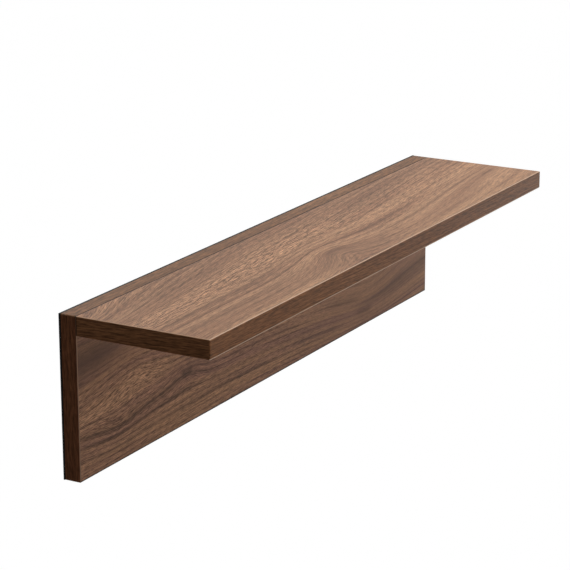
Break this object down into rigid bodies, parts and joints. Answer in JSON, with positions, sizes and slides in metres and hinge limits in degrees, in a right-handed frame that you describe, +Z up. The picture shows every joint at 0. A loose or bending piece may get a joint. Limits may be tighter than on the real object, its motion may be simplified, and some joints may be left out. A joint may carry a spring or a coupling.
{
  "type": "floating wall shelf",
  "caption": "Inverted-L wall shelf in dark walnut veneer: a shelf board butted to an upright back panel that hooks onto a concealed wall rail and lifts off it.",
  "frame": {"origin": "on the wall plane, at the middle of the wall rail's row of screw holes", "axes": "+X along the wall to the right seen from the room, +Y into the wall, +Z up"},
  "size_m": [0.6, 0.136, 0.136],
  "materials": {
    "shelf_walnut": "matt lacquered walnut veneer, grain along the length",
    "panel_walnut": "matt lacquered walnut veneer, grain along the length",
    "walnut_edge_band": "matt walnut edge band",
    "particle_board": "raw particle board",
    "black_backer": "matt black backing sheet",
    "beech": "raw beech",
    "zinc_steel": "bright zinc plate",
    "mill_aluminium": "mill finish with draw lines along the length"
  },
  "bodies": {
    "rail": {"wall_rail": "mill_aluminium"},
    "shelf": {"shelf_core": "particle_board", "shelf_top_veneer": "shelf_walnut", "shelf_bottom_veneer": "shelf_walnut", "shelf_front_edge_band": "walnut_edge_band", "shelf_left_edge_band": "walnut_edge_band", "shelf_right_edge_band": "walnut_edge_band", "panel_core": "particle_board", "panel_front_veneer": "panel_walnut", "panel_rear_backer": "black_backer", "panel_top_edge_band": "walnut_edge_band", "panel_bottom_edge_band": "walnut_edge_band", "panel_left_edge_band": "walnut_edge_band", "panel_right_edge_band": "walnut_edge_band", "joint_screws": "zinc_steel", "joint_dowels": "beech", "hook_clip_left": "mill_aluminium", "hook_clip_middle": "mill_aluminium", "hook_clip_right": "mill_aluminium", "hook_clip_screws": "zinc_steel"}
  },
  "joints": [
    {"name": "lift_off", "type": "slide", "parent": "rail", "child": "shelf", "axis": [0, 0, 1], "range_m": [0, 0.01]}
  ]
}
